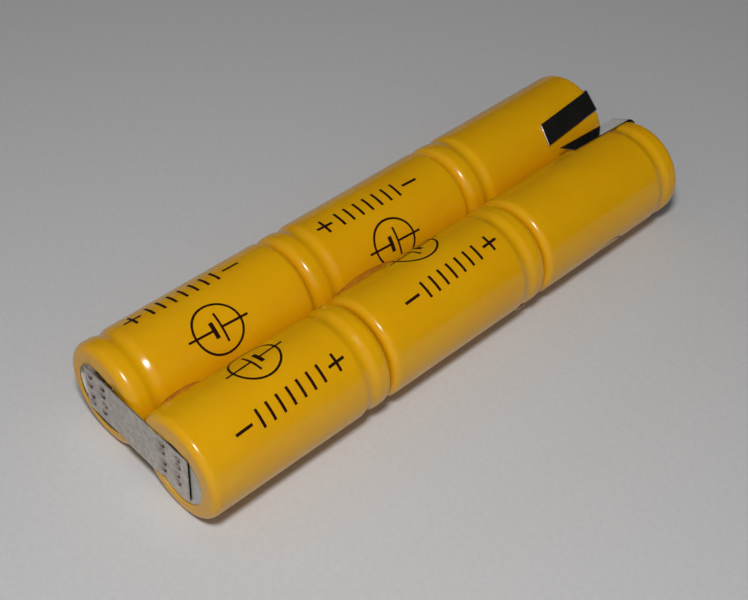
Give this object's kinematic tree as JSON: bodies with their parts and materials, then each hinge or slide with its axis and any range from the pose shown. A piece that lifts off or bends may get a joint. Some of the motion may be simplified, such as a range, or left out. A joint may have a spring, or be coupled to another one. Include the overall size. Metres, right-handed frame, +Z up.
{
  "type": "battery pack",
  "caption": "Battery pack of sleeved cylindrical cells in two welded sticks, with a nickel bridge across one end and two folded solder tabs at the other.",
  "frame": {"origin": "on the surface that the pack lies on, under the middle of its length and width", "axes": "+Y along the sticks of cells towards the solder tabs, +X towards the stick whose positive end carries a tab, +Z up"},
  "size_m": [0.0286, 0.086, 0.0143],
  "materials": {
    "sleeve": "gloss",
    "can": "satin",
    "cap": "polished",
    "lid": "satin",
    "nickel_strip": "polished",
    "insulating_ring": "matte",
    "gasket": "satin",
    "vent_plug": "matte",
    "positive_plate": "matte",
    "separator": "matte",
    "negative_plate": "matte",
    "adhesive": "gloss"
  },
  "bodies": {
    "pack": {"sleeve_a1": "sleeve", "sleeve_a2": "sleeve", "sleeve_a3": "sleeve", "sleeve_b1": "sleeve", "sleeve_b2": "sleeve", "sleeve_b3": "sleeve", "can_a1": "can", "can_a2": "can", "can_a3": "can", "can_b1": "can", "can_b2": "can", "can_b3": "can", "cap_a1": "cap", "cap_a2": "cap", "cap_a3": "cap", "cap_b1": "cap", "cap_b2": "cap", "cap_b3": "cap", "lid_a1": "lid", "lid_a2": "lid", "lid_a3": "lid", "lid_b1": "lid", "lid_b2": "lid", "lid_b3": "lid", "positive_plate_a1": "positive_plate", "positive_plate_a2": "positive_plate", "positive_plate_a3": "positive_plate", "positive_plate_b1": "positive_plate", "positive_plate_b2": "positive_plate", "positive_plate_b3": "positive_plate", "separator_a1": "separator", "separator_a2": "separator", "separator_a3": "separator", "separator_b1": "separator", "separator_b2": "separator", "separator_b3": "separator", "negative_plate_a1": "negative_plate", "negative_plate_a2": "negative_plate", "negative_plate_a3": "negative_plate", "negative_plate_b1": "negative_plate", "negative_plate_b2": "negative_plate", "negative_plate_b3": "negative_plate", "gaskets": "gasket", "vent_plugs": "vent_plug", "insulating_rings": "insulating_ring", "top_insulators": "insulating_ring", "positive_collectors": "nickel_strip", "negative_collectors": "nickel_strip", "link_a1_a2": "nickel_strip", "link_a2_a3": "nickel_strip", "link_b1_b2": "nickel_strip", "link_b2_b3": "nickel_strip", "front_bridge": "nickel_strip", "adhesive_beads": "adhesive", "negative_tab_foot": "nickel_strip", "positive_tab_foot": "nickel_strip"},
    "negative_tab": {"negative_tab_flap": "nickel_strip"},
    "positive_tab": {"positive_tab_flap": "nickel_strip"}
  },
  "joints": [
    {"name": "negative_tab_fold", "type": "hinge", "parent": "pack", "child": "negative_tab", "pos_m": [-0.00293, 0.04286, 0.01315], "axis": [-0.749, 0, 0.6626], "range_deg": [0, 90]},
    {"name": "positive_tab_fold", "type": "hinge", "parent": "pack", "child": "positive_tab", "pos_m": [0.00295, 0.0427, 0.01318], "axis": [-0.8829, 0, -0.4695], "range_deg": [0, 90]}
  ]
}
